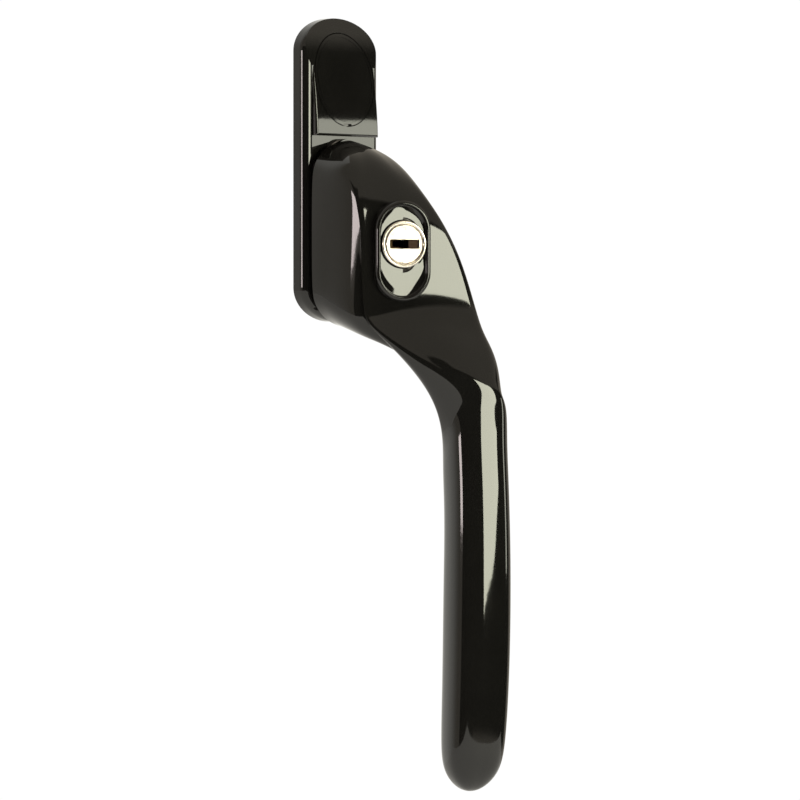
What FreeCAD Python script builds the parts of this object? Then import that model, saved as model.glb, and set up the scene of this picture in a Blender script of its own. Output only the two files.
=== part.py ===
import FreeCAD, Part
import math
import os

# Key-locking cranked espagnolette window handle: black cast base and lever,
# nickel push-button lock.  Millimetres.  Origin on the spindle axis at the
# back face of the base, front towards -Y, +Z up, lever hanging down at rest.

V = FreeCAD.Vector

# ---- overall sizes ----
BASE_W = 28.0            # base width at the window frame
BASE_H = 72.3            # base height at the window frame
BASE_END = 8.1           # rise of the base's rounded ends
SIDE_ROUND = 2.1         # rounding between the side wall and the front
LAND_T = 4.0             # depth of the flat that the lever turns over
SCREW_PITCH = 43.0       # spacing of the fixing screws
LEVER_LEN = 147.4        # spindle axis to the tip of the grip
CRANK_X = 11.3           # sideways offset of the grip
GRIP_D = 35.4            # depth of the grip's axis from the window frame
GRIP_SCALE = 1.0         # grip thickness, 1 is the normal hand size

# ---- base ----
SCREW_R = 2.6            # fixing screw hole
CSK_R = 4.7              # countersink mouth
BLOCK_Z = 8.0            # underside of the raised block
BLOCK_D = 5.5            # block depth at its underside
BLOCK_IN = 0.1           # step from the land's edge to the block's side
CROWN_R = 137.0          # vertical crown of the block's front
CROWN_Z = 4.0            # height at which the crown is deepest
BLOCK_FILLET = 0.55
PLUG_R = 11.0
PLUG_T = 1.25
PLUG_GAP = 0.25          # groove round the screw cover
BORE_R = 6.7             # hub bore
REAR_R = 10.6            # rear recess for the retaining stack
REAR_D = 2.4
PAN_R = 12.0             # detent plate, outer
PAN_IN = 8.6             # detent plate, inner
PAN_T = 0.6

# ---- hub ----
RUN = 0.05               # radial running clearance
SEAT = 5.8               # depth of the lever's flat underside
HUB_R = 7.4
BUSH_FLANGE = 0.8
BUSH_WALL = 0.65
SPIGOT_END = 0.15
SPINDLE = 7.1            # square socket
SOCKET_D = 9.4
CLIP_T = 0.6
DISC_T = 0.5
WAVE_T = 0.3
WAVE_H = 0.28            # wave height each way
BALL_R = 1.5
BALL_Z = -10.3
BALL_WELL = 6.0

# ---- lock ----
LOCK_X = -3.6            # lock centre on the slanted front face
LOCK_D = 24.3
LOCK_Z = -17.9
LOCK_TILT = 30.0         # front face turned to the left, degrees
BEZEL_W = 14.0
BEZEL_H = 23.8
BEZEL_DROP = 1.6         # bezel centre below the lock centre
BEZEL_UP = 1.9
BEZEL_RIM = 1.0
BEZEL_SUNK = 1.0
BEZEL_ROUND = 0.75
BEZEL_ROOT = 3.0
BEZEL_LIP = 0.9          # how far the surround's edge sinks into the lever
BARREL_R = 5.6
BARREL_BODY_R = 6.2
BARREL_OUT = 2.2         # barrel face proud of the slanted face
BARREL_IN = 11.0
KEYPLUG_R = 4.68
KEYPLUG_LEN = 11.0
SLOT_W = 7.5
SLOT_H = 2.2
PUSH = 3.2               # button travel
PIN_R = 1.5
PIN_END = 19.8
SPRING_WELL_R = 3.4
SPRING_WELL_D = 17.0
KEEPER_R = 3.0
KEEPER_TOP = 5.5
KEEPER_BUSH_R = 2.3
CLIP_N = -7.8            # plug clip, along the lock's axis
CLIP_GROOVE_R = 5.2
WAFER_T = 0.7
WAFER_N = (-1.2, -2.8, -4.4, -6.0)
WAFER_LIFT = (0.5, -0.4, 0.3, -0.5)
SPRING_R = 2.6           # return spring, to the wire's centre
SPRING_WIRE = 0.8

HEAD_W = 28.4            # lever head over the base
HEAD_TOP = 7.0
HEAD_BOTTOM = -37.6

os.makedirs("parts", exist_ok=True)


def p3(x, depth, z):
    """Point from sideways, depth from the window frame, height."""
    return V(x, -depth, z)


def outline(half_w, half_h, end, depth):
    """Wire of the base's long shape: straight sides, elliptical ends."""
    s = half_h - end
    wires = []
    right = Part.LineSegment(p3(half_w, depth, -s), p3(half_w, depth, s)).toShape()
    left = Part.LineSegment(p3(-half_w, depth, s), p3(-half_w, depth, -s)).toShape()
    major, minor = max(half_w, end), min(half_w, end)
    for side in (1, -1):
        tip = p3(half_w * side, depth, s * side)
        top = p3(0, depth, half_h * side)
        oval = Part.Ellipse(tip, top, p3(0, depth, s * side))
        if end > half_w:
            oval = Part.Ellipse(top, tip, p3(0, depth, s * side))
        a = oval.parameter(tip)
        b = oval.parameter(p3(-half_w * side, depth, s * side))
        mid = oval.parameter(top)
        if not min(a, b) < mid < max(a, b):
            a, b = max(a, b), min(a, b) + 2 * math.pi
        wires.append(Part.Arc(oval, min(a, b), max(a, b)).toShape())
    return Part.Wire(Part.__sortEdges__([right, wires[0], left, wires[1]]))


def slab(half_w, half_h, end, d0, d1):
    """Straight-sided plate between two depths."""
    face = Part.Face(outline(half_w, half_h, end, d0))
    return face.extrude(V(0, -(d1 - d0), 0))


def disc(radius, d0, d1, x=0.0, z=0.0):
    """Round solid along Y between two depths."""
    return Part.makeCylinder(radius, d1 - d0, p3(x, d0, z), V(0, -1, 0))


def box(x0, x1, d0, d1, z0, z1):
    return Part.makeBox(x1 - x0, d1 - d0, z1 - z0, V(x0, -d1, z0))


def crown(inset):
    """Big round solid whose front is the block's crowned face, sunk by inset."""
    top = BLOCK_D + CROWN_R * (1 - math.cos(math.asin((BLOCK_Z - CROWN_Z) / CROWN_R)))
    axis_d = top - CROWN_R
    r = CROWN_R - inset
    return Part.makeCylinder(r, 2 * BASE_W, V(-BASE_W, -axis_d, CROWN_Z), V(1, 0, 0))


# ---- lock frame: s along the slanted face, n out of it ----
TILT = math.radians(LOCK_TILT)
OUT = V(-math.sin(TILT), -math.cos(TILT), 0)
ALONG = V(math.cos(TILT), -math.sin(TILT), 0)
LOCK = p3(LOCK_X, LOCK_D, LOCK_Z)


def lock_point(s, n, z):
    """Point in the lock frame; z is measured from the lock's centre."""
    return LOCK + ALONG * s + OUT * n + V(0, 0, z)


def lock_disc(radius, n0, n1, s=0.0, z=0.0):
    return Part.makeCylinder(radius, n1 - n0, lock_point(s, n0, z), OUT)


def lock_box(s0, s1, n0, n1, z0, z1):
    """Box lined up with the slanted face."""
    corners = [lock_point(s0, n0, z0), lock_point(s1, n0, z0)]
    corners += [lock_point(s1, n0, z1), lock_point(s0, n0, z1)]
    face = Part.Face(Part.makePolygon(corners + corners[:1]))
    return face.extrude(OUT * (n1 - n0))


def edges_at_level(shape, n):
    """Edges lying flat at one level of the lock's axis."""
    return [e for e in shape.Edges if all(abs((v.Point - LOCK).dot(OUT) - n) < 1e-6 for v in e.Vertexes)]


def edges_at_depth(shape, depth):
    """Edges lying flat at one depth from the frame."""
    flat = [e for e in shape.Edges if abs(e.BoundBox.YMax - e.BoundBox.YMin) < 2e-4]
    return [e for e in flat if abs(e.BoundBox.YMax + depth) < 1e-4]


def stadium(width, height, n0, n1):
    """Upright oval solid centred on the bezel."""
    r = width / 2
    h = height / 2 - r
    low = lock_disc(r, n0, n1, z=-BEZEL_DROP - h)
    high = lock_disc(r, n0, n1, z=-BEZEL_DROP + h)
    mid = lock_box(-r, r, n0, n1, -BEZEL_DROP - h, -BEZEL_DROP + h)
    return low.fuse([high, mid]).removeSplitter()


# ---- lever skin ----
# Each station is one section of the lever, walked from the footprint over the
# base, round the crank and down the grip: four corners (left front, right
# front, right back, left back) as sideways, depth and height, then how far the
# corner rounding reaches along the two sides that meet there.
HW = HEAD_W / 2
HEAD = [
    ((-HW, SEAT, HEAD_TOP), (HW, SEAT, HEAD_TOP), (HW, SEAT, HEAD_BOTTOM), (-HW, SEAT, HEAD_BOTTOM),
     (9, 13.5), (13.5, 10), (9, 13.5), (13.5, 9), 0),
    ((-14.15, 8.2, 6.4), (13.4, 8.4, 6.2), (14.5, 7, -37.9), (-14.1, 7.2, -37.8),
     (9, 12.5), (12.5, 10), (9, 13), (13, 9), 0.1),
    ((-13.95, 12, 4.9), (11, 13.6, 4.6), (14.9, 8.8, -38.4), (-13.8, 9.2, -38.3),
     (7, 9), (10, 9), (9, 12), (12, 8), 0.5),
    ((-13.6, 15.2, 2.4), (7.8, 19.6, 1.8), (15.4, 11.2, -39.2), (-13.6, 12, -38.8),
     (5, 6), (8, 8), (8.5, 10), (10, 7), 0.8),
    ((-13.1, 17.7, -2), (5, 25.2, -2.8), (16, 14, -40.4), (-13.3, 14.8, -39.4),
     (3, 3.4), (5.5, 6.5), (8, 8), (8, 6.5), 0.9),
    ((-12.6, 18.9, -8.8), (7, 29.2, -9.8), (16.8, 17, -42.4), (-12.8, 17.2, -39.9),
     (2, 2), (4, 5), (7.5, 7), (7, 6), 1.1),
    ((-12.75, 19.1, -17), (10.4, 31.8, -17.8), (17.6, 19.8, -44.8), (-10.6, 19.6, -40.8),
     (2, 2), (3.6, 4.5), (7, 6.5), (6.5, 5.5), 1.2),
    ((-12.95, 19.1, -26), (13.2, 33.5, -26.8), (18.4, 22, -48), (-6, 22, -42.6),
     (2, 2), (3.6, 4.5), (6.5, 6), (6, 5.5), 1.3),
    ((-13, 19.2, -33.8), (14.9, 35.8, -36.6), (19.2, 23.8, -51.6), (-0.6, 24.4, -45.4),
     (2.2, 2.2), (3.8, 4.6), (6, 6), (6, 5.5), 1.3),
    ((-12.5, 20.1, -36.4), (15.6, 38, -40), (19.6, 25.4, -56), (4, 27.2, -49.2),
     (2.6, 2.8), (4.2, 5), (6, 6), (5.8, 5.6), 1.5),
    ((-9.8, 24, -40.2), (15.2, 41.4, -45), (19.7, 26.9, -61.5), (5.4, 29, -54.6),
     (3.2, 3.6), (4.8, 5.6), (6, 6), (5.8, 5.6), 1.5),
    ((-5, 31, -45.6), (14, 43.6, -52), (19.6, 27.9, -67.5), (5.6, 30, -62),
     (5.5, 6.5), (7, 7), (7, 7), (6.5, 6.5), 1),
]
# Grip sections: rounded oblongs round the crank's axis, turned like the head's front.
GRIP_TOP = -53.0
TWIST = math.radians(26)
GRIP_SQUARE = 2.8         # 2 gives an oval, more gives flatter sides
# share down the grip, drift of its axis in depth, half width, half thickness,
# lean of the back
GRIP = [
    (0, -0.5, 7.49, 6.07, -15),
    (0.09, -0.6, 7.49, 6.07, -12.5),
    (0.2, -0.15, 7.49, 6.26, -8.5),
    (0.32, 0.1, 7.63, 6.35, -5),
    (0.45, 0.1, 7.82, 6.45, -2),
    (0.6, -0.05, 7.87, 6.45, 0),
    (0.74, -0.4, 7.77, 6.35, 0),
    (0.86, -1, 7.58, 6.26, 0),
    (0.94, -1.5, 7.02, 5.78, 0),
    (0.985, -1.9, 4.17, 3.41, 0),
    (1, -2.1, 1.52, 1.33, 0),
]
TIP_DRIFT = -2.1


def grip_ring(row):
    """Closed ring of control points for one section of the grip."""
    share, drift, half_w, half_t, lean = row
    z = GRIP_TOP + share * (-LEVER_LEN - GRIP_TOP)
    tx, td = math.cos(TWIST), math.sin(TWIST)
    out = []
    for corner in (135, 45, -45, -135):
        angles = [corner + 27.7 - 13.85 * k for k in range(5)]
        angles += [98.65, 90, 81.35] if corner == 135 else [corner - 45]
        for g in angles:
            c, d = math.cos(math.radians(g)), math.sin(math.radians(g))
            k = (abs(c) ** GRIP_SQUARE + abs(d) ** GRIP_SQUARE) ** (-1 / GRIP_SQUARE)
            s, n = half_w * GRIP_SCALE * k * c, half_t * GRIP_SCALE * k * d
            back = lean * (1 - n / half_t) / 2
            out.append(p3(CRANK_X + s * tx - n * td, GRIP_D + drift + s * td + n * tx, z + back))
    return out


def corner_poles(a, q, b):
    """Control points of one rounded corner, from side point a round q to b."""
    out = []
    for k in range(5):
        t = k / 4
        c0, c1, c2 = (1 - t) ** 2, 2 * t * (1 - t) * 0.7071, t * t
        out.append((a * c0 + q * c1 + b * c2) * (1 / (c0 + c1 + c2)))
    return out


def ring_poles(station):
    """Closed ring of control points for one station."""
    c = [p3(*q) for q in station[:4]]
    ends = []
    for i, (reach_in, reach_out) in enumerate(station[4:8]):
        before = c[i - 1] - c[i]
        after = c[(i + 1) % 4] - c[i]
        ra = min(reach_in, 0.49 * before.Length)
        rb = min(reach_out, 0.49 * after.Length)
        a = c[i] + before * (ra / before.Length)
        b = c[i] + after * (rb / after.Length)
        ends.append((a, c[i], b))
    across = (c[1] - c[0]).normalize()
    back = (c[2] + c[3] - c[0] - c[1]) * 0.5
    bulge = (across * back.dot(across) - back).normalize() * station[8]
    out = []
    for i in range(4):
        out += corner_poles(*ends[i])
        a, b = ends[i][2], ends[(i + 1) % 4][0]
        if i == 0:
            out += [a + (b - a) * f + bulge * (4 * f * (1 - f)) for f in (0.25, 0.5, 0.75)]
        else:
            out.append((a + b) * 0.5)
    return out


def lever_skin():
    """Solid of the lever's outside, from the footprint to the tip."""
    poles = [ring_poles(s) for s in HEAD] + [grip_ring(row) for row in GRIP]
    tip = p3(CRANK_X, GRIP_D + TIP_DRIFT, -LEVER_LEN)
    poles.append([tip] * len(poles[0]))
    rows, cols = len(poles), len(poles[0])
    u_knots = [float(k) for k in range(rows - 2)]
    u_mults = [4] + [1] * (rows - 4) + [4]
    v_knots = [float(k) for k in range(cols + 1)]
    v_mults = [1] * (cols + 1)
    skin = Part.BSplineSurface()
    skin.buildFromPolesMultsKnots(poles, u_mults, v_mults, u_knots, v_knots, False, True, 3, 3)
    side = skin.toShape()
    rim = edges_at_depth(side, SEAT)
    cap = Part.Face(Part.Wire(rim))
    shell = Part.Shell([side, cap])
    shell.sewShape()
    solid = Part.Solid(shell)
    if solid.Volume < 0:
        solid.reverse()
    return solid


# ---- base ----
def screw_hole(z, mouth):
    """Clearance hole with a countersink whose mouth is at the given depth."""
    tall = CSK_R - SCREW_R
    cone = Part.makeCone(SCREW_R, CSK_R, tall, p3(0, mouth - tall, z), V(0, -1, 0))
    return disc(SCREW_R, -1, 12, z=z).fuse([cone, disc(CSK_R, mouth, 12, z=z)])


def detent_plate_shape(clear):
    """Half ring on the land that the detent ball runs over."""
    ring = disc(PAN_R - 0.4 + clear, LAND_T - PAN_T, LAND_T).cut(disc(PAN_IN - clear, 0, 9))
    return ring.cut(box(-30, 30, 0, 9, 1.9 + clear, 30))


def rivet_points():
    return [(10.1 * math.sin(math.radians(a)), -10.1 * math.cos(math.radians(a))) for a in (-45, 45)]


def keeper_axis_x(depth):
    """Sideways place of the lock's axis at a given depth."""
    return LOCK_X + (LOCK_D - depth) * math.tan(TILT)


def base_block():
    tall = BASE_H / 2 - SIDE_ROUND - BLOCK_IN
    block = slab(BASE_W / 2 - SIDE_ROUND - BLOCK_IN, tall, BASE_END - 1.0, LAND_T - 2, BLOCK_D + 1)
    block = block.common(box(-BASE_W, BASE_W, 0, 20, BLOCK_Z, BASE_H))
    block = block.common(crown(0.0))
    front = max((f for f in block.Faces if f.Surface.TypeId == "Part::GeomCylinder"
                 and abs(f.Surface.Radius - CROWN_R) < 1), key=lambda f: f.Area)
    low = [e for e in front.Edges if e.BoundBox.ZMin < BLOCK_Z + 0.01]
    return block.makeFillet(BLOCK_FILLET, low)


def base_shell():
    """Rounded plate whose upper end follows the crowned front."""
    plate = slab(BASE_W / 2, BASE_H / 2, BASE_END, 0, LAND_T)
    plate = plate.makeFillet(SIDE_ROUND, edges_at_depth(plate, LAND_T))
    upper = box(-BASE_W, BASE_W, 0, 20, BLOCK_Z, BASE_H)
    return plate.cut(upper.cut(crown(0.0)))


def base_plate():
    keeper_x = keeper_axis_x(LAND_T)
    lug = disc(KEEPER_R, 1.0, KEEPER_TOP - 0.6, keeper_x, LOCK_Z)
    body = base_shell().fuse([base_block(), lug])
    pocket = disc(PLUG_R + PLUG_GAP, -5, 20, z=SCREW_PITCH / 2).cut(crown(PLUG_T + 0.05))
    top_mouth = BLOCK_D - 2.35
    cuts = [pocket, screw_hole(SCREW_PITCH / 2, top_mouth), screw_hole(-SCREW_PITCH / 2, LAND_T)]
    cuts += [disc(BORE_R, -1, 9), disc(REAR_R, -1, REAR_D), detent_plate_shape(0.04)]
    cuts += [disc(0.8, REAR_D + 0.3, LAND_T, x, z) for x, z in rivet_points()]
    cuts.append(keeper_bore(KEEPER_BUSH_R + 0.02))
    return body.cut(cuts)


def keeper_bore(radius):
    """Slanted round along the lock's axis, through the lug and the land."""
    start = LOCK - OUT * ((LOCK_D - 1.6) / math.cos(TILT))
    return Part.makeCylinder(radius, 8.0, start, OUT).common(box(-30, 30, 1.6, KEEPER_TOP + 1, -40, 20))


def keeper_bush():
    """Steel bush in the lug that the locking pin drops into."""
    bush = keeper_bore(KEEPER_BUSH_R).cut(keeper_bore(PIN_R + 0.1))
    return bush.common(box(-30, 30, 1.65, KEEPER_TOP - 0.55, -40, 20))


def screw_cover_plug():
    z = SCREW_PITCH / 2
    cap = disc(PLUG_R, -5, 20, z=z).common(crown(0.0)).cut(crown(PLUG_T))
    ring = disc(PLUG_R - 0.75, -5, 20, z=z).cut(disc(PLUG_R - 0.95, -6, 21, z=z))
    cap = cap.cut(ring.cut(crown(0.12)))
    notch = box(-1.4, 1.4, 0, 20, z - PLUG_R - 1, z - PLUG_R + 0.45)
    return cap.cut(notch.cut(crown(0.5)))


# ---- hub ----
def hub_bush():
    """Flanged nylon bush that the lever's spigot turns in."""
    flange = disc(HUB_R, LAND_T, LAND_T + BUSH_FLANGE)
    sleeve = disc(BORE_R - 0.02, REAR_D, LAND_T)
    return sleeve.fuse(flange).removeSplitter().cut(disc(BORE_R - BUSH_WALL, 0, 20))


def spigot_radius():
    return BORE_R - BUSH_WALL - RUN


def keyed_disc(outer, d0, d1, clear):
    """Washer with two flats that turn with the lever's spigot."""
    hole = disc(spigot_radius() + clear, d0 - 1, d1 + 1)
    flat = FLAT_X + clear
    hole = hole.common(box(-flat, flat, -2, 20, -20, 20))
    return disc(outer, d0, d1).cut(hole)


FLAT_X = 5.3
DISC_D1 = 1.55
DISC_D0 = DISC_D1 - DISC_T


def retaining_disc():
    return keyed_disc(REAR_R - 0.6, DISC_D0, DISC_D1, 0.05)


def circlip():
    """Open ring in the spigot's groove, behind the retaining disc."""
    ring = disc(GROOVE_R + 1.7, DISC_D0 - CLIP_T, DISC_D0 - 0.02).cut(disc(GROOVE_R + 0.03, -2, 9))
    gap = box(-1.6, 1.6, -1, 9, 0, 20)
    ears = disc(1.25, DISC_D0 - CLIP_T, DISC_D0 - 0.02, -2.7, GROOVE_R + 1.3)
    ears = ears.fuse(disc(1.25, DISC_D0 - CLIP_T, DISC_D0 - 0.02, 2.7, GROOVE_R + 1.3))
    ears = ears.cut(disc(GROOVE_R + 0.03, -2, 9))
    holes = [disc(0.5, -1, 9, x, GROOVE_R + 1.4) for x in (-2.7, 2.7)]
    return ring.cut(gap).fuse(ears).removeSplitter().cut(holes)


GROOVE_R = 5.4


def wave_washer():
    """Three-lobed spring washer between the base and the retaining disc."""
    mid = (REAR_D + DISC_D1) / 2
    inner, outer = spigot_radius() + 0.25, REAR_R - 0.5
    n = 36
    low, high = [], []
    for r in (inner, outer):
        pts = []
        for k in range(n):
            a = 2 * math.pi * k / n
            pts.append((r * math.cos(a), mid + WAVE_H * 0.42 * math.sin(3 * a), r * math.sin(a)))
        for store, off in ((low, -WAVE_T / 2), (high, WAVE_T / 2)):
            curve = Part.BSplineCurve()
            curve.interpolate([p3(x, d + off, z) for x, d, z in pts], PeriodicFlag=True)
            store.append(Part.Wire(curve.toShape()))
    faces = []
    for a, b in ((low[0], low[1]), (low[1], high[1]), (high[1], high[0]), (high[0], low[0])):
        faces.append(Part.makeRuledSurface(a.Edges[0], b.Edges[0]))
    shell = Part.Shell(faces)
    shell.sewShape()
    solid = Part.Solid(shell)
    if solid.Volume < 0:
        solid.reverse()
    return solid


def detent_plate():
    """Hard strip with a dimple at the three stopping places."""
    plate = detent_plate_shape(0.0)
    dimples = []
    for a in (-90, 0, 90):
        x = -BALL_Z * math.sin(math.radians(a))
        z = BALL_Z * math.cos(math.radians(a))
        dimples.append(Part.makeSphere(BALL_R + 0.06, p3(x, BALL_D - 0.3, z)))
    holes = [disc(0.8, 0, 9, x, z) for x, z in rivet_points()]
    return plate.cut(dimples + holes)


BALL_D = LAND_T + 0.03 + BALL_R


def plate_rivets():
    """Pair of small flush rivets that hold the detent plate."""
    return Part.Compound([disc(0.78, REAR_D + 0.35, LAND_T - 0.03, x, z) for x, z in rivet_points()])


def detent_ball():
    return Part.makeSphere(BALL_R, p3(0, BALL_D, BALL_Z))


def coil(centre, axis, radius, wire, length, turns):
    """Closed-section helix spring along an axis."""
    pitch = (length - wire) / turns
    helix = Part.makeHelix(pitch, length - wire, radius)
    start = V(radius, 0, 0)
    circle = Part.Wire(Part.makeCircle(wire / 2, start, V(0, 1, pitch / (2 * math.pi * radius))))
    spring = Part.Wire(helix.Edges).makePipeShell([circle], True, True)
    spring.translate(V(0, 0, wire / 2))
    turn = FreeCAD.Rotation(V(0, 0, 1), axis)
    spring.Placement = FreeCAD.Placement(centre, turn).multiply(spring.Placement)
    return spring


def detent_spring():
    d0 = BALL_D + BALL_R + 0.02
    return coil(p3(0, d0, BALL_Z), V(0, -1, 0), 1.1, 0.32, SEAT + BALL_WELL - 0.05 - d0, 5)


# ---- lever body ----
def lever_hub():
    d1 = LAND_T + BUSH_FLANGE + 0.04
    hub = disc(HUB_R, d1, SEAT + 0.5)
    spigot = disc(spigot_radius(), DISC_D1 + 0.05, SEAT + 0.5)
    tail = disc(spigot_radius(), SPIGOT_END, SEAT).common(box(-FLAT_X, FLAT_X, 0, 9, -20, 20))
    groove = disc(20, DISC_D0 - CLIP_T - 0.06, DISC_D0).cut(disc(GROOVE_R, -1, 9))
    return hub.fuse([spigot, tail]).cut(groove)


def lock_cavity():
    """Everything bored into the lever for the lock, along its slanted axis."""
    pocket = stadium(BEZEL_W - 1.0, BEZEL_H - 1.0, -BEZEL_ROOT - 0.05, 12)
    lip = stadium(BEZEL_W + 0.04, BEZEL_H + 0.04, -BEZEL_LIP - 0.02, 12)
    bore = lock_disc(BARREL_BODY_R + RUN, -BARREL_IN - PUSH - 0.4, 12)
    well = lock_disc(SPRING_WELL_R, -SPRING_WELL_D, 0)
    pin = lock_disc(PIN_R + RUN, -30, 0)
    key = lock_box(-1.05, 1.05, -BARREL_IN - PUSH - 0.4, 0, -BARREL_BODY_R - 1.05, 0)
    return pocket.fuse([lip, bore, well, pin, key])


def lever():
    body = lever_skin().fuse(lever_hub())
    socket = box(-SPINDLE / 2, SPINDLE / 2, -1, SOCKET_D, -SPINDLE / 2, SPINDLE / 2)
    ball_well = disc(BALL_R + RUN, 0, SEAT + BALL_WELL, z=BALL_Z)
    clip_slot = box(SPINDLE / 2 - 0.1, SPINDLE / 2 + 0.5, 1.9, SOCKET_D - 0.6, -1.6, 1.6)
    return body.cut([socket, ball_well, lock_cavity(), clip_slot])


def spindle_clip():
    """Bowed leaf in the socket's side that grips the spindle."""
    x0 = SPINDLE / 2 + 0.45
    d0, d1 = 2.0, SOCKET_D - 0.7
    pts_a = [p3(x0, d0, 0), p3(x0 - 0.4, (d0 + d1) / 2, 0), p3(x0, d1, 0)]
    pts_b = [p3(x0 - 0.25, d0, 0), p3(x0 - 0.65, (d0 + d1) / 2, 0), p3(x0 - 0.25, d1, 0)]
    edges = [Part.Arc(*pts_a).toShape(), Part.LineSegment(pts_a[2], pts_b[2]).toShape()]
    edges += [Part.Arc(*pts_b[::-1]).toShape(), Part.LineSegment(pts_b[0], pts_a[0]).toShape()]
    leaf = Part.Face(Part.Wire(edges)).extrude(V(0, 0, 3.0))
    leaf.translate(V(0, 0, -1.5))
    return leaf


# ---- lock ----
def lock_bezel():
    """Raised oval surround, with a rim and a sunk floor round the button."""
    flange = stadium(BEZEL_W, BEZEL_H, -BEZEL_LIP, BEZEL_UP)
    flange = flange.makeFillet(BEZEL_ROUND, edges_at_level(flange, BEZEL_UP))
    root = stadium(BEZEL_W - 1.04, BEZEL_H - 1.04, -BEZEL_ROOT, 0)
    floor = BEZEL_UP - BEZEL_SUNK
    sunk = stadium(BEZEL_W - 2 * BEZEL_RIM, BEZEL_H - 2 * BEZEL_RIM, floor, 9)
    hole = lock_disc(BARREL_R + RUN, -9, 9)
    mouth = Part.makeCone(BARREL_R + RUN, BARREL_R + RUN + 0.15, 0.2, lock_point(0, floor - 0.2, 0), OUT)
    return flange.fuse(root).cut([sunk, hole, mouth])


def lock_barrel():
    """Push button: nickel tube with a shoulder held in by the bezel."""
    front = lock_disc(BARREL_R, -BEZEL_ROOT - 1, BARREL_OUT)
    front = front.makeFillet(0.35, edges_at_level(front, BARREL_OUT))
    body = lock_disc(BARREL_BODY_R, -BARREL_IN, -BEZEL_ROOT - 0.06)
    key = lock_box(-1.0, 1.0, -BARREL_IN, -BEZEL_ROOT - 0.06, -BARREL_BODY_R - 0.95, 0)
    tube = front.fuse([body, key])
    bore = lock_disc(KEYPLUG_R + 0.04, BARREL_OUT - KEYPLUG_LEN - 0.1, 9)
    clip = lock_disc(CLIP_GROOVE_R, CLIP_N, CLIP_N + 0.6)
    rear = lock_disc(PIN_R + 0.02, -30, 0)
    seat = lock_disc(SPRING_WELL_R, -30, -BARREL_IN + 1.0).cut(lock_disc(PIN_R + 0.5, -31, 0))
    plug_r = KEYPLUG_R + 0.04
    mouth = Part.makeCone(plug_r, plug_r + 0.3, 0.3, lock_point(0, BARREL_OUT - 0.3, 0), OUT)
    return tube.cut([bore, clip, rear, seat, mouth])


def key_plug():
    """Turning plug with the key slot, four wafer slots and a clip groove."""
    body = lock_disc(KEYPLUG_R, BARREL_OUT - KEYPLUG_LEN, BARREL_OUT)
    body = body.makeChamfer(0.23, edges_at_level(body, BARREL_OUT))
    slot = lock_box(-SLOT_W / 2, SLOT_W / 2, -7.2, 9, -SLOT_H / 2, SLOT_H / 2)
    groove = lock_disc(9, CLIP_N, CLIP_N + 0.6).cut(lock_disc(KEYPLUG_R - 0.7, -20, 9))
    cuts = [slot, groove]
    for n in WAFER_N:
        cuts.append(lock_box(-3.0, 1.6, n - 0.06, n + WAFER_T + 0.06, -3.6, 3.6))
    return body.cut(cuts)


def wafers():
    """Four thin plates across the key slot, each at its own height."""
    out = []
    for i, n in enumerate(WAFER_N):
        lift = WAFER_LIFT[i]
        plate = lock_box(-2.9, 1.5, n, n + WAFER_T, -2.5 + lift, 2.5 + lift)
        window = lock_box(-2.1, 0.9, n - 1, n + 2, -1.2 + lift, 1.2 + lift)
        out.append(plate.cut(window))
    return Part.Compound(out)


def wafer_springs():
    """Short pad springs above the wafers."""
    out = []
    for i, n in enumerate(WAFER_N):
        lift = WAFER_LIFT[i]
        out.append(lock_box(-1.2, -0.2, n + 0.1, n + WAFER_T - 0.1, 2.52 + lift, 3.55))
    return Part.Compound(out)


def plug_clip():
    """Open spring ring that keeps the plug in the barrel."""
    ring = lock_disc(CLIP_GROOVE_R - 0.08, CLIP_N + 0.05, CLIP_N + 0.55)
    ring = ring.cut(lock_disc(KEYPLUG_R - 0.66, -20, 9))
    return ring.cut(lock_box(-1.5, 1.5, -20, 9, 0, 9))


def slot_shutter():
    """Spring-loaded dust shutter that fills the right third of the slot."""
    s1 = SLOT_W / 2 - 0.06
    h = SLOT_H / 2 - 0.06
    return lock_box(s1 - 2.5, s1, BARREL_OUT - 2.0, BARREL_OUT - 0.45, -h, h)


def locking_pin():
    """Steel pin pressed into the barrel's rear wall."""
    stem = lock_disc(PIN_R, -PIN_END, BARREL_OUT - KEYPLUG_LEN - 0.2)
    tip = [e for e in stem.Edges if abs((e.CenterOfMass - LOCK).dot(OUT) + PIN_END) < 1e-6]
    return stem.makeFillet(0.4, tip)


def return_spring():
    """Coil that pushes the button out again."""
    start = LOCK - OUT * (SPRING_WELL_D - 0.03)
    length = SPRING_WELL_D - BARREL_IN + 0.94
    return coil(start, OUT, SPRING_R, SPRING_WIRE, length, 3)


PARTS = {
    "base_plate": base_plate,
    "screw_cover_plug": screw_cover_plug,
    "hub_bush": hub_bush,
    "detent_plate": detent_plate,
    "plate_rivets": plate_rivets,
    "keeper_bush": keeper_bush,
    "lever": lever,
    "spindle_clip": spindle_clip,
    "wave_washer": wave_washer,
    "retaining_disc": retaining_disc,
    "circlip": circlip,
    "detent_ball": detent_ball,
    "detent_spring": detent_spring,
    "lock_bezel": lock_bezel,
    "lock_barrel": lock_barrel,
    "locking_pin": locking_pin,
    "return_spring": return_spring,
    "key_plug": key_plug,
    "plug_clip": plug_clip,
    "wafers": wafers,
    "wafer_springs": wafer_springs,
    "slot_shutter": slot_shutter,
}

for name, make in PARTS.items():
    shape = make()
    print(name, shape.isValid(), len(shape.Solids), round(shape.Volume, 2))
    shape.exportStep("parts/%s.step" % name)
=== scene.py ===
import bpy, bmesh, math
import numpy as np
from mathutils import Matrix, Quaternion, Vector


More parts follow.
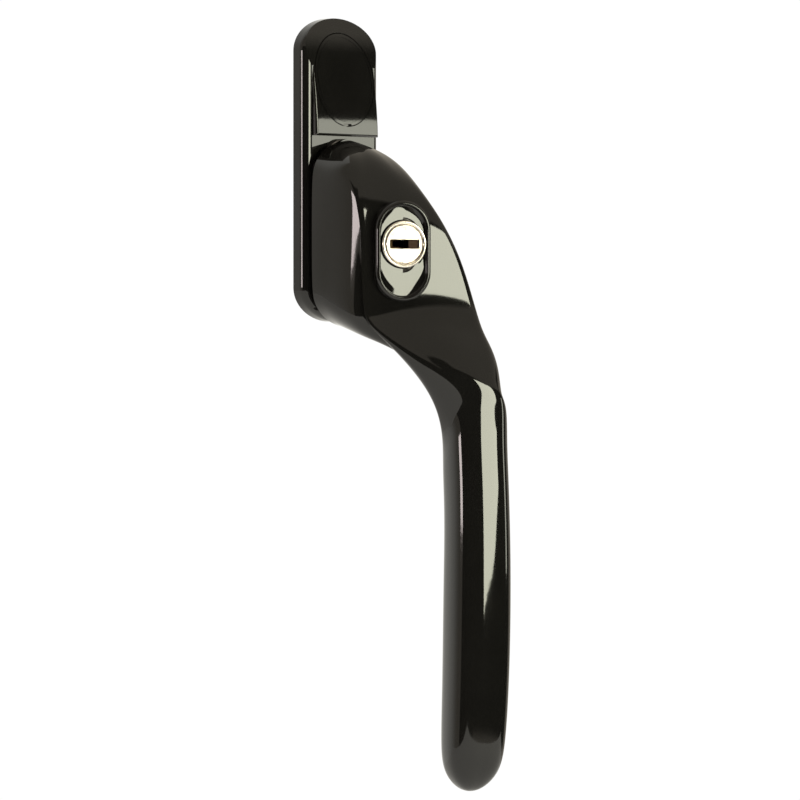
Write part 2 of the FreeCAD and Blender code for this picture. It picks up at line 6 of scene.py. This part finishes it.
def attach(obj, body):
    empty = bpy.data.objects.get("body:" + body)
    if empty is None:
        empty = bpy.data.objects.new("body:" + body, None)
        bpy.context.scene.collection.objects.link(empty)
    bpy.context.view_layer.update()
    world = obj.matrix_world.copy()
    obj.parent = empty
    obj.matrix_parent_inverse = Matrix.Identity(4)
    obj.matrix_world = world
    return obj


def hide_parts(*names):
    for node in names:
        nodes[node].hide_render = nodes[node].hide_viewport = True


# Look of a cranked, key-locking window handle: gloss black base and lever,
# nickel push-button lock.  Millimetres are turned into metres by MM.

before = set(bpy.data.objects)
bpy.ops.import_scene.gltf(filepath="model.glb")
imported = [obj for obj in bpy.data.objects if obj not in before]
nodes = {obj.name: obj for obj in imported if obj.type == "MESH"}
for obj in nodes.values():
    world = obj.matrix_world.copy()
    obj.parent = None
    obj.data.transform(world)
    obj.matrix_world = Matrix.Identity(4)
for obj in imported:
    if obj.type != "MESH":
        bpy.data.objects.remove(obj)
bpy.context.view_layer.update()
MM = 0.001
scene = bpy.context.scene
scene.view_settings.view_transform = "Standard"
scene.view_settings.look = "None"

# ---------------------------------------------------------------- materials
def new_material(name):
    m = bpy.data.materials.new(name)
    m.use_nodes = True
    nt = m.node_tree
    bsdf = next(n for n in nt.nodes if n.type == "BSDF_PRINCIPLED")
    return m, nt, bsdf


def coords(nt):
    return nt.nodes.new("ShaderNodeTexCoord").outputs["Object"]


def noise(nt, vec, scale, detail=2.0, rough=0.5):
    n = nt.nodes.new("ShaderNodeTexNoise")
    n.inputs["Scale"].default_value = scale
    n.inputs["Detail"].default_value = detail
    n.inputs["Roughness"].default_value = rough
    nt.links.new(vec, n.inputs["Vector"])
    return n.outputs["Fac"]


def ramp(nt, fac, stops):
    r = nt.nodes.new("ShaderNodeValToRGB")
    r.color_ramp.elements[0].position = stops[0][0]
    r.color_ramp.elements[0].color = (*stops[0][1], 1)
    r.color_ramp.elements[1].position = stops[-1][0]
    r.color_ramp.elements[1].color = (*stops[-1][1], 1)
    for pos, col in stops[1:-1]:
        e = r.color_ramp.elements.new(pos)
        e.color = (*col, 1)
    nt.links.new(fac, r.inputs["Fac"])
    return r.outputs["Color"]


def grey(v):
    return (v, v, v)


def blend(nt, fac, a, b):
    """Colour a to colour b by a factor; colours are sockets or RGB."""
    n = nt.nodes.new("ShaderNodeMix")
    n.data_type = "RGBA"
    ends = {s.identifier: s for s in n.inputs}
    nt.links.new(fac, ends["Factor_Float"])
    for key, v in (("A_Color", a), ("B_Color", b)):
        if isinstance(v, tuple):
            ends[key].default_value = (*v, 1)
        else:
            nt.links.new(v, ends[key])
    return next(s for s in n.outputs if s.identifier == "Result_Color")


def bump(nt, height, strength, distance, into=None):
    """Normal raised by a height, on top of another normal if one is given."""
    b = nt.nodes.new("ShaderNodeBump")
    b.inputs["Strength"].default_value = strength
    b.inputs["Distance"].default_value = distance
    nt.links.new(height, b.inputs["Height"])
    if into is not None:
        nt.links.new(into, b.inputs["Normal"])
    return b.outputs["Normal"]


def gloss_black(name, base=(0.0085, 0.0082, 0.0075), rough=0.045):
    """Stoved gloss enamel: faint orange peel, a few dust nibs, slight variation of gloss."""
    m, nt, bsdf = new_material(name)
    vec = coords(nt)
    dark, light = (tuple(c * k for c in base) for k in (0.85, 1.15))
    tone = ramp(nt, noise(nt, vec, 60, 3), [(0.3, dark), (0.7, light)])
    bsdf.inputs["IOR"].default_value = 1.5
    peel = noise(nt, vec, 420, 2, 0.5)
    nrm = bump(nt, peel, 0.05, 0.00005)
    rmap = ramp(nt, noise(nt, vec, 35, 4), [(0.35, grey(rough * 0.8)), (0.75, grey(rough * 1.35))])
    vor = nt.nodes.new("ShaderNodeTexVoronoi")
    vor.inputs["Scale"].default_value = 190
    nt.links.new(vec, vor.inputs["Vector"])
    size = ramp(nt, noise(nt, vec, 90, 1), [(0.60, grey(0.0)), (0.72, grey(1.0))])
    dot = ramp(nt, vor.outputs["Distance"], [(0.02, grey(1.0)), (0.055, grey(0.0))])
    mul = nt.nodes.new("ShaderNodeMath")
    mul.operation = "MULTIPLY"
    nt.links.new(size, mul.inputs[0])
    nt.links.new(dot, mul.inputs[1])
    tone = blend(nt, mul.outputs[0], tone, (0.16, 0.15, 0.13))
    nrm = bump(nt, mul.outputs[0], 0.35, 0.00006, nrm)
    nt.links.new(tone, bsdf.inputs["Base Color"])
    nt.links.new(rmap, bsdf.inputs["Roughness"])
    nt.links.new(nrm, bsdf.inputs["Normal"])
    return m


def metal(name, base, rough, scratch=300, stretch=(1, 1, 1), depth=0.00001, var=0.12):
    """Plated or drawn metal with fine wear lines."""
    m, nt, bsdf = new_material(name)
    vec = coords(nt)
    mp = nt.nodes.new("ShaderNodeMapping")
    mp.inputs["Scale"].default_value = stretch
    nt.links.new(vec, mp.inputs["Vector"])
    fine = noise(nt, mp.outputs["Vector"], scratch, 6, 0.65)
    col = ramp(nt, fine, [(0.3, tuple(c * (1 - var) for c in base)), (0.7, base)])
    rmap = ramp(nt, fine, [(0.3, grey(rough * 0.75)), (0.75, grey(rough * 1.4))])
    nrm = bump(nt, fine, 0.25, depth)
    bsdf.inputs["Metallic"].default_value = 1.0
    nt.links.new(col, bsdf.inputs["Base Color"])
    nt.links.new(rmap, bsdf.inputs["Roughness"])
    nt.links.new(nrm, bsdf.inputs["Normal"])
    return m


def plastic(name, base, rough=0.45):
    """Moulded plastic with a fine grain."""
    m, nt, bsdf = new_material(name)
    vec = coords(nt)
    grain = noise(nt, vec, 900, 4, 0.6)
    col = ramp(nt, noise(nt, vec, 120, 3), [(0.3, tuple(c * 0.92 for c in base)), (0.7, base)])
    nt.links.new(col, bsdf.inputs["Base Color"])
    rmap = ramp(nt, grain, [(0.3, grey(rough * 0.85)), (0.7, grey(rough * 1.1))])
    nt.links.new(rmap, bsdf.inputs["Roughness"])
    nt.links.new(bump(nt, grain, 0.2, 0.00003), bsdf.inputs["Normal"])
    return m


BLACK = gloss_black("gloss_black_enamel")
BLACK_PLUG = gloss_black("gloss_black_plastic", rough=0.05)
NICKEL = metal("polished_nickel", (0.86, 0.80, 0.72), 0.16, 700)
SHUTTER = metal("shutter_metal", (0.030, 0.019, 0.014), 0.4, 500, (1, 1, 0.2))
# painted shade: dark brown metal standing for the shade on the walls inside the key slot
SLOT_SHADE = metal("key_slot_painted_shade", (0.05, 0.03, 0.022), 0.5, 500, (1, 1, 0.2))
STEEL = metal("zinc_plated_steel", (0.56, 0.56, 0.55), 0.3, 260)
SPRING = metal("spring_steel", (0.30, 0.30, 0.32), 0.28, 400)
# painted shade: the brass wafers are kept far darker than brass to stand for the shade deep in the key slot
BRASS_SHADE = metal("stamped_brass_painted_shade", (0.05, 0.032, 0.016), 0.4, 400)
NYLON = plastic("nylon", (0.72, 0.70, 0.64))


def dress(name, mat):
    """One material over a node kept from the CAD."""
    o = nodes[name]
    for i in range(len(o.material_slots)):
        o.material_slots[i].material = mat
    if not o.material_slots:
        o.data.materials.append(mat)


dress("base_plate", BLACK)
dress("screw_cover_plug", BLACK_PLUG)
for n in ("wave_washer", "circlip", "detent_spring", "return_spring", "plug_clip", "spindle_clip",
          "wafer_springs"):
    dress(n, SPRING)
for n in ("retaining_disc", "detent_plate", "plate_rivets", "keeper_bush", "detent_ball", "locking_pin"):
    dress(n, STEEL)
# wafers take the brass darkened as painted shade
dress("wafers", BRASS_SHADE)
dress("hub_bush", NYLON)
dress("slot_shutter", SHUTTER)


# ---------------------------------------------------------------- mesh tools
def ring_mesh(name, rows, mat, close_first=False, close_last=False, sharp=35.0):
    """Mesh skinned over closed rings of equal length; rows are N x 3 in metres."""
    n = len(rows[0])
    verts = [tuple(p) for r in rows for p in r]
    faces = []
    for i in range(len(rows) - 1):
        for j in range(n):
            k = (j + 1) % n
            faces.append((i * n + j, i * n + k, (i + 1) * n + k, (i + 1) * n + j))
    if close_first:
        faces.append(tuple(range(n - 1, -1, -1)))
    if close_last:
        faces.append(tuple((len(rows) - 1) * n + j for j in range(n)))
    me = bpy.data.meshes.new(name)
    me.from_pydata(verts, [], faces)
    bm = bmesh.new()
    bm.from_mesh(me)
    bmesh.ops.remove_doubles(bm, verts=bm.verts, dist=1e-7)
    bmesh.ops.recalc_face_normals(bm, faces=bm.faces)
    bm.to_mesh(me)
    bm.free()
    me.shade_smooth()
    me.set_sharp_from_angle(angle=math.radians(sharp))
    me.materials.append(mat)
    o = bpy.data.objects.new(name, me)
    scene.collection.objects.link(o)
    return o


def to_frame(rows):
    """Sideways, depth and height in mm to metres in the frame."""
    r = np.asarray(rows, float)
    return np.stack([r[..., 0], -r[..., 1], r[..., 2]], -1) * MM


# ---------------------------------------------------------------- lock
# slant of the lock's axis, its centre on the head's front (sideways, depth, height), its direction
TILT = math.radians(30)
LOCK = np.array([-3.6, 24.3, -17.9])
OUT = np.array((-math.sin(TILT), -math.cos(TILT), 0.0))


def lock_pt(s, n, z):
    """Point given across the lock's face, out along its axis and up."""
    x = LOCK[0] + s * math.cos(TILT) - n * math.sin(TILT)
    d = LOCK[1] + s * math.sin(TILT) + n * math.cos(TILT)
    return (x, d, LOCK[2] + z)


N_RING = 192
PHI = np.linspace(0, 2 * math.pi, N_RING, endpoint=False)


def ring(r, n):
    """Circle round the lock's axis at level n."""
    return to_frame([lock_pt(r * math.cos(a), n, r * math.sin(a)) for a in PHI])


def lock_rod(name, radius, n0, n1):
    """Cutter along the lock axis."""
    return ring_mesh(name, [ring(radius, n0), ring(radius, n1)], BLACK, close_first=True, close_last=True)


def apply_boolean(o, cutter):
    """Cut one mesh out of another and remove the cutter."""
    md = o.modifiers.new("cut", "BOOLEAN")
    md.object = cutter
    md.solver = "EXACT"
    dg = bpy.context.evaluated_depsgraph_get()
    me = bpy.data.meshes.new_from_object(o.evaluated_get(dg))
    o.modifiers.clear()
    o.data = me
    bpy.data.objects.remove(cutter)


# ---------------------------------------------------------------- lever
SEAT = 5.8                # depth of the lever's flat underside
HW = 14.2                 # half width of the head at its underside
CRANK_X = 11.3            # sideways offset of the grip
GRIP_D = 35.4             # depth of the grip's axis
GRIP_TOP = -53.0          # height of the grip's upper end
LEVER_LEN = 147.4         # pivot down to the tip
TIP_DRIFT = -2.1          # drift of the grip's axis in depth at the tip
TWIST = math.radians(26)  # turn of the grip's section
SQUARE = 2.8              # 2 gives an oval grip, more gives flatter sides
CORNER_STEP = 13.85       # degrees between the points round a corner of the grip
FRONT_STEP = 8.65         # degrees between the points along its front
# radius and both ends along the lock's axis
BARREL_BORE = (6.25, -14.6, 3.0)
PIN_BORE = (1.95, -32.0, -14.0)
# corners front-left, front-right, back-right, back-left (sideways, depth, height in mm),
# rounding before and after each corner, bulge of the front
HEAD = [
    ((-HW, SEAT, 7), (HW, SEAT, 7), (HW, SEAT, -37.6), (-HW, SEAT, -37.6),
     (9, 13.5), (13.5, 10), (9, 13.5), (13.5, 9), 0),
    ((-14.15, 8.2, 6.4), (13.4, 8.4, 6.2), (14.5, 7, -37.9), (-14.1, 7.2, -37.8),
     (9, 12.5), (12.5, 10), (9, 13), (13, 9), 0.1),
    ((-13.95, 12, 4.9), (11, 13.6, 4.6), (14.9, 8.8, -38.4), (-13.8, 9.2, -38.3),
     (7, 9), (10, 9), (9, 12), (12, 8), 0.5),
    ((-13.6, 15.2, 2.4), (7.8, 19.6, 1.8), (15.4, 11.2, -39.2), (-13.6, 12, -38.8),
     (5, 6), (8, 8), (8.5, 10), (10, 7), 0.8),
    ((-13.1, 17.7, -2), (5, 25.2, -2.8), (16, 14, -40.4), (-13.3, 14.8, -39.4),
     (3, 3.4), (5.5, 6.5), (8, 8), (8, 6.5), 0.9),
    ((-12.6, 18.9, -8.8), (7, 29.2, -9.8), (16.8, 17, -42.4), (-12.8, 17.2, -39.9),
     (2, 2), (4, 5), (7.5, 7), (7, 6), 1.1),
    ((-12.75, 19.1, -17), (10.4, 31.8, -17.8), (17.6, 19.8, -44.8), (-10.6, 19.6, -40.8),
     (2, 2), (3.6, 4.5), (7, 6.5), (6.5, 5.5), 1.2),
    ((-12.95, 19.1, -26), (13.2, 33.5, -26.8), (18.4, 22, -48), (-6, 22, -42.6),
     (2, 2), (3.6, 4.5), (6.5, 6), (6, 5.5), 1.3),
    ((-13, 19.2, -33.8), (14.9, 35.8, -36.6), (19.2, 23.8, -51.6), (-0.6, 24.4, -45.4),
     (2.2, 2.2), (3.8, 4.6), (6, 6), (6, 5.5), 1.3),
    ((-12.5, 20.1, -36.4), (15.6, 38, -40), (19.6, 25.4, -56), (4, 27.2, -49.2),
     (2.6, 2.8), (4.2, 5), (6, 6), (5.8, 5.6), 1.5),
    ((-9.8, 24, -40.2), (15.2, 41.4, -45), (19.7, 26.9, -61.5), (5.4, 29, -54.6),
     (3.2, 3.6), (4.8, 5.6), (6, 6), (5.8, 5.6), 1.5),
    ((-5, 31, -45.6), (14, 43.6, -52), (19.6, 27.9, -67.5), (5.6, 30, -62),
     (5.5, 6.5), (7, 7), (7, 7), (6.5, 6.5), 1),
]
# share down the grip, drift of the axis, half width, half thickness, lean of the back
GRIP = [
    (0, -0.5, 7.49, 6.07, -15),
    (0.09, -0.6, 7.49, 6.07, -12.5),
    (0.2, -0.15, 7.49, 6.26, -8.5),
    (0.32, 0.1, 7.63, 6.35, -5),
    (0.45, 0.1, 7.82, 6.45, -2),
    (0.6, -0.05, 7.87, 6.45, 0),
    (0.74, -0.4, 7.77, 6.35, 0),
    (0.86, -1, 7.58, 6.26, 0),
    (0.94, -1.5, 7.02, 5.78, 0),
    (0.985, -1.9, 4.17, 3.41, 0),
    (1, TIP_DRIFT, 1.52, 1.33, 0),
]


def grip_ring(row):
    """Rounded oblong section of the grip, turned about the grip's own axis."""
    share, drift, a, b, lean = row
    z = GRIP_TOP + share * (-LEVER_LEN - GRIP_TOP)
    tx, td = math.cos(TWIST), math.sin(TWIST)
    out = []
    for corner in (135, 45, -45, -135):
        # five points round each corner, three along the front and one on every other side
        angles = [corner + CORNER_STEP * (2 - k) for k in range(5)]
        angles += [90 + FRONT_STEP, 90, 90 - FRONT_STEP] if corner == 135 else [corner - 45]
        for g in angles:
            c, d = math.cos(math.radians(g)), math.sin(math.radians(g))
            k = (abs(c) ** SQUARE + abs(d) ** SQUARE) ** (-1 / SQUARE)
            s, n = a * k * c, b * k * d
            x, depth = CRANK_X + s * tx - n * td, GRIP_D + drift + s * td + n * tx
            out.append((x, depth, z + lean * (1 - n / b) / 2))
    return np.array(out)


def ring_poles(station):
    """Closed ring of control points for one station of the head."""
    c = [np.array(p, float) for p in station[:4]]
    ends = []
    for i, (ra, rb) in enumerate(station[4:8]):
        before, after = c[i - 1] - c[i], c[(i + 1) % 4] - c[i]
        la, lb = np.linalg.norm(before), np.linalg.norm(after)
        start = c[i] + before * (min(ra, 0.49 * la) / la)
        end = c[i] + after * (min(rb, 0.49 * lb) / lb)
        ends.append((start, c[i], end))
    side = (c[1] - c[0]) / np.linalg.norm(c[1] - c[0])
    back = (c[2] + c[3] - c[0] - c[1]) / 2
    out_dir = side * np.dot(back, side) - back
    out_dir /= np.linalg.norm(out_dir)
    out = []
    for i in range(4):
        a, q, b = ends[i]
        for k in range(5):
            t = k / 4
            w = np.array([(1 - t) ** 2, 2 * t * (1 - t) * 0.7071, t * t])
            out.append((a * w[0] + q * w[1] + b * w[2]) / w.sum())
        nxt = ends[(i + 1) % 4][0]
        for f in ((0.25, 0.5, 0.75) if i == 0 else (0.5,)):
            out.append(b + (nxt - b) * f + out_dir * (station[8] * 4 * f * (1 - f) * (i == 0)))
    return np.array(out)


def clamped_basis(n, count):
    """Cubic basis of a clamped uniform spline, count x n."""
    knots = np.concatenate([np.zeros(3), np.linspace(0, 1, n - 2), np.ones(3)])
    x = np.clip(np.linspace(0, 1, count), 0, 1 - 1e-12)
    b = np.array([(x >= knots[i]) & (x < knots[i + 1]) for i in range(len(knots) - 1)], float).T
    for k in range(1, 4):
        nb = np.zeros_like(b)
        for i in range(len(knots) - 1 - k):
            da, db = knots[i + k] - knots[i], knots[i + k + 1] - knots[i + 1]
            if da > 0:
                nb[:, i] += (x - knots[i]) / da * b[:, i]
            if db > 0:
                nb[:, i] += (knots[i + k + 1] - x) / db * b[:, i + 1]
        b = nb
    return b[:, :n]


def lever_rows(along=380, around=264):
    """Rings of the lever's skin, from the tip up to the underside of the head."""
    poles = [ring_poles(s) for s in HEAD] + [grip_ring(r) for r in GRIP]
    poles.append(np.tile(np.array([CRANK_X, GRIP_D + TIP_DRIFT, -LEVER_LEN]), (len(poles[0]), 1)))
    poles = np.array(poles)
    q = np.einsum("un,nmk->umk", clamped_basis(len(poles), along), poles)
    m = q.shape[1]
    t = np.arange(around) / around * m
    i, f = np.floor(t).astype(int), t % 1.0
    w = np.stack([(1 - f) ** 3 / 6, (3 * f ** 3 - 6 * f ** 2 + 4) / 6,
                  (-3 * f ** 3 + 3 * f ** 2 + 3 * f + 1) / 6, f ** 3 / 6])
    s = sum(q[:, (i - 1 + k) % m] * w[k][None, :, None] for k in range(4))
    return s[::-1]


def build_lever():
    """Lever skin closed by its hub: spigot with flats for the disc, circlip groove, square socket."""
    rows = list(lever_rows())
    foot = rows[-1]
    ang = np.arctan2(foot[:, 2], foot[:, 0])

    def circle(r, d):
        return np.stack([r * np.cos(ang), np.full(len(ang), d), r * np.sin(ang)], 1)

    def square(h, d):
        k = h / np.maximum(np.abs(np.cos(ang)), np.abs(np.sin(ang)))
        return np.stack([k * np.cos(ang), np.full(len(ang), d), k * np.sin(ang)], 1)

    def flats(r, x, d):
        c = circle(r, d)
        c[:, 0] = np.clip(c[:, 0], -x, x)
        return c

    hub, spigot, flat, groove, socket = 7.4, 6.0, 5.3, 5.4, 3.55
    rows += [circle(hub, SEAT), circle(hub, 4.84), circle(spigot, 4.84), circle(spigot, 1.6)]
    rows += [flats(spigot, flat, 1.6), flats(spigot, flat, 1.05), circle(groove, 1.05), circle(groove, 0.39)]
    rows += [flats(spigot, flat, 0.39), flats(spigot, flat, 0.15)]
    rows += [square(socket, 0.15), square(socket, 9.4), square(0.02, 9.4)]
    return ring_mesh("lever_casting", [to_frame(r) for r in rows], BLACK, close_last=True)


lever = build_lever()
apply_boolean(lever, lock_rod("bore", *BARREL_BORE))
apply_boolean(lever, lock_rod("pin_bore", *PIN_BORE))
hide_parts("lever")
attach(lever, "lever")


def oval(inset, n, w=14.0, h=23.8, drop=1.6):
    """Outline of the surround, inset by some mm, at level n."""
    r, half = w / 2 - inset, h / 2 - w / 2
    out = []
    for a in PHI:
        up = half if math.sin(a) >= 0 else -half
        out.append(lock_pt(r * math.cos(a), n, -drop + r * math.sin(a) + up))
    return to_frame(out)


def quarter(cx, cy, r, a0, a1, k=7):
    """Points of an arc from one angle to another."""
    angles = [math.radians(a0 + (a1 - a0) * i / (k - 1)) for i in range(k)]
    return [(cx + r * math.cos(a), cy + r * math.sin(a)) for a in angles]


def slope(rows):
    """Lean a ring of the surround's floor a little towards the right."""
    across = np.array((math.cos(TILT), -math.sin(TILT), 0.0))
    return rows - np.outer((rows - to_frame([tuple(LOCK)])[0]) @ across * 0.055, OUT)


def build_bezel():
    """Oval surround; its profile goes rounded rim, inner wall, hollow corner, dished floor, hole."""
    prof = [(0, -0.9), (0, 0.6)] + quarter(0.75, 1.15, 0.75, 180, 90, 11)
    prof += quarter(0.83, 1.75, 0.15, 90, 0, 5)
    prof += [(1.0, 1.3)] + quarter(1.35, 1.3, 0.35, 180, 270, 8)
    rows = [oval(i, n) for i, n in prof]
    inner, outer = slope(oval(1.35, 0.95)), slope(ring(5.8, 0.9))
    for t in (0.2, 0.4, 0.6, 0.8):
        dish = OUT * MM * 0.03 * math.sin(math.pi * t)
        rows.append(inner + (outer - inner) * t - dish)
    rows += [outer, ring(5.64, 0.7), ring(5.64, -3.0), oval(0.6, -3.0), oval(0.6, -0.9)]
    return ring_mesh("lock_surround", rows, BLACK, sharp=50)


def build_barrel():
    """Push button: shouldered tube, closed at its inner end, with a rounded rim and inner chamfer."""
    prof = [(1.6, -11.0), (6.2, -11.0), (6.2, -3.06), (5.6, -3.06)] + quarter(5.25, 1.85, 0.35, 0, 90)
    prof += [(5.02, 2.2), (4.72, 1.9), (4.72, -9.0)]
    return ring_mesh("lock_barrel_tube", [ring(r, n) for r, n in prof], NICKEL, True, True, sharp=50)


def build_plug():
    """Key plug with a chamfered face and a key slot whose walls are painted dark as shade inside the slot.
    """
    prof = [(0.01, -8.8), (4.68, -8.8), (4.68, 1.95), (4.45, 2.2), (3.2, 2.2), (1.5, 2.2), (0.01, 2.2)]
    o = ring_mesh("key_plug_face", [ring(r, n) for r, n in prof], NICKEL, True, True, sharp=40)
    w, h = 3.75, 1.1      # half width and half height of the key slot
    ends = (-7.2, 4.0)    # its cutter's ends along the lock's axis
    pts = [lock_pt(s, n, z) for n in ends for s, z in ((-w, -h), (w, -h), (w, h), (-w, h))]
    me = bpy.data.meshes.new("cut")
    sides = [(k, (k + 1) % 4, (k + 1) % 4 + 4, k + 4) for k in range(4)]
    me.from_pydata([tuple(p) for p in to_frame(pts)], [], [(0, 3, 2, 1), (4, 5, 6, 7)] + sides)
    cut = bpy.data.objects.new("cut", me)
    scene.collection.objects.link(cut)
    apply_boolean(o, cut)
    o.data.materials.append(SLOT_SHADE)
    # faces inside the key slot get the painted-shade metal
    for f in o.data.polygons:
        at = np.array(f.center) / MM
        dx, dd, dz = at[0] - LOCK[0], -at[1] - LOCK[1], at[2] - LOCK[2]
        s = dx * math.cos(TILT) + dd * math.sin(TILT)
        n = -dx * math.sin(TILT) + dd * math.cos(TILT)
        if abs(s) < w + 0.01 and abs(dz) < h + 0.01 and n < 2.1:
            f.material_index = 1
    return o


bezel = build_bezel()
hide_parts("lock_bezel")
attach(bezel, "lever")
barrel = build_barrel()
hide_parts("lock_barrel")
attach(barrel, "lock_button")
plug = build_plug()
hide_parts("key_plug")
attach(plug, "key_plug")

# ---------------------------------------------------------------- studio
AZ, EL = math.radians(-52.0), math.radians(0.5)     # where the camera stands
CAM = Vector((math.sin(AZ), -math.cos(AZ), 0))
RIGHT = Vector((math.cos(AZ), math.sin(AZ), 0))
DIST = 1.6                # camera distance
VIEW_W = 0.1909           # width seen at that distance
target = RIGHT * 0.01666 + Vector((0, 0, -0.0548))
cam_data = bpy.data.cameras.new("camera")
cam = bpy.data.objects.new("camera", cam_data)
scene.collection.objects.link(cam)
cam.location = target + (CAM * math.cos(EL) + Vector((0, 0, math.sin(EL)))) * DIST
cam.rotation_euler = (target - cam.location).to_track_quat("-Z", "Y").to_euler()
cam_data.sensor_width = 36
cam_data.lens = 36 * DIST / VIEW_W
cam_data.clip_end = 50
scene.camera = cam


def softbox(name, right_deg, up_deg, dist, width, height, radiance, colour, roll=0.0):
    """Rectangular light seen from the object at an angle to the right of the camera."""
    a, e = math.radians(right_deg), math.radians(up_deg)
    d = (CAM * math.cos(a) + RIGHT * math.sin(a)) * math.cos(e) + Vector((0, 0, math.sin(e)))
    centre = Vector((0.0, -0.02, -0.04))
    light = bpy.data.lights.new(name, "AREA")
    light.shape = "RECTANGLE"
    light.size, light.size_y = width, height
    light.energy = radiance * math.pi * width * height
    light.color = colour
    o = bpy.data.objects.new(name, light)
    scene.collection.objects.link(o)
    o.location = centre + d * dist
    aim = (centre - o.location).to_track_quat("-Z", "Y")
    o.rotation_euler = (aim @ Quaternion((0, 0, 1), math.radians(roll))).to_euler()
    return o


softbox("key_softbox", 58.5, 6.0, 4.0, 1.86, 1.10, 13.0, (1.0, 1.0, 0.80), 14)
softbox("side_box", 104, 2.0, 4.0, 0.5, 0.66, 4.5, (1.0, 1.0, 0.84))
softbox("strip", -43, 2.0, 4.0, 1.0, 0.36, 13.0, (1.0, 0.88, 0.86))

# room for light and reflections; the camera itself sees plain white.  Dull brown walls turn
# white at the far left, with a dark curtain behind the camera and a dark rail behind the lights
# to its right
world = bpy.data.worlds.new("studio")
world.use_nodes = True
scene.world = world
wn = world.node_tree
wn.nodes.clear()


def math_node(op, a, b=None):
    n = wn.nodes.new("ShaderNodeMath")
    n.operation = op
    for k, v in enumerate((a, b)):
        if isinstance(v, (int, float)):
            n.inputs[k].default_value = v
        elif v is not None:
            wn.links.new(v, n.inputs[k])
    return n.outputs[0]


def along(direction):
    """Cosine of the angle between a ray and a direction."""
    n = wn.nodes.new("ShaderNodeVectorMath")
    n.operation = "DOT_PRODUCT"
    wn.links.new(view_dir, n.inputs[0])
    n.inputs[1].default_value = direction
    return n.outputs["Value"]


def window(angle, low, high, soft):
    """1 between two angles in degrees, fading over a soft edge."""
    up = wn.nodes.new("ShaderNodeMapRange")
    up.interpolation_type = "SMOOTHSTEP"
    up.inputs["From Min"].default_value = math.radians(low - soft)
    up.inputs["From Max"].default_value = math.radians(low + soft)
    wn.links.new(angle, up.inputs["Value"])
    down = wn.nodes.new("ShaderNodeMapRange")
    down.interpolation_type = "SMOOTHSTEP"
    down.inputs["From Min"].default_value = math.radians(high - soft)
    down.inputs["From Max"].default_value = math.radians(high + soft)
    wn.links.new(angle, down.inputs["Value"])
    return math_node("MULTIPLY", up.outputs["Result"], math_node("SUBTRACT", 1.0, down.outputs["Result"]))


view_dir = wn.nodes.new("ShaderNodeTexCoord").outputs["Generated"]
round_angle = math_node("ARCTAN2", along(tuple(RIGHT)), along(tuple(CAM)))
up_angle = math_node("ARCSINE", along((0, 0, 1)))
curtain = math_node("MULTIPLY", window(round_angle, -36, 28, 2), window(up_angle, -30, 25, 2))
rail = math_node("MULTIPLY", window(round_angle, -36, 125, 2), window(up_angle, -12, 16, 1.5))
dark = math_node("MAXIMUM", curtain, rail)
out = wn.nodes.new("ShaderNodeOutputWorld")
white = wn.nodes.new("ShaderNodeBackground")
white.inputs["Color"].default_value = (1, 1, 1, 1)
white.inputs["Strength"].default_value = 1.02
room = wn.nodes.new("ShaderNodeBackground")
room.inputs["Strength"].default_value = 1.0
side = wn.nodes.new("ShaderNodeMapRange")
side.interpolation_type = "SMOOTHSTEP"
side.inputs["From Min"].default_value = math.radians(-50)
side.inputs["From Max"].default_value = math.radians(-100)
wn.links.new(round_angle, side.inputs["Value"])
walls = blend(wn, side.outputs["Result"], (0.50, 0.455, 0.38), (1.10, 1.08, 1.0))
wn.links.new(blend(wn, dark, walls, (0.015, 0.015, 0.014)), room.inputs["Color"])
path = wn.nodes.new("ShaderNodeLightPath")
mix = wn.nodes.new("ShaderNodeMixShader")
wn.links.new(path.outputs["Is Camera Ray"], mix.inputs["Fac"])
wn.links.new(room.outputs[0], mix.inputs[1])
wn.links.new(white.outputs[0], mix.inputs[2])
wn.links.new(mix.outputs[0], out.inputs["Surface"])


def build_floor():
    """Plain pale floor well below the handle."""
    half, z = 1.3, -0.45
    me = bpy.data.meshes.new("floor")
    corners = [(-half, -half, z), (half, -half, z), (half, half, z), (-half, half, z)]
    me.from_pydata(corners, [], [(0, 1, 2, 3)])
    mat, nt, bsdf = new_material("pale_floor")
    tone = ramp(nt, noise(nt, coords(nt), 3, 3), [(0.3, grey(0.93)), (0.7, grey(0.96))])
    nt.links.new(tone, bsdf.inputs["Base Color"])
    bsdf.inputs["Roughness"].default_value = 0.9
    bsdf.inputs["Emission Color"].default_value = (1, 1, 1, 1)
    bsdf.inputs["Emission Strength"].default_value = 0.3
    me.materials.append(mat)
    o = bpy.data.objects.new("floor", me)
    scene.collection.objects.link(o)
    return o


build_floor()
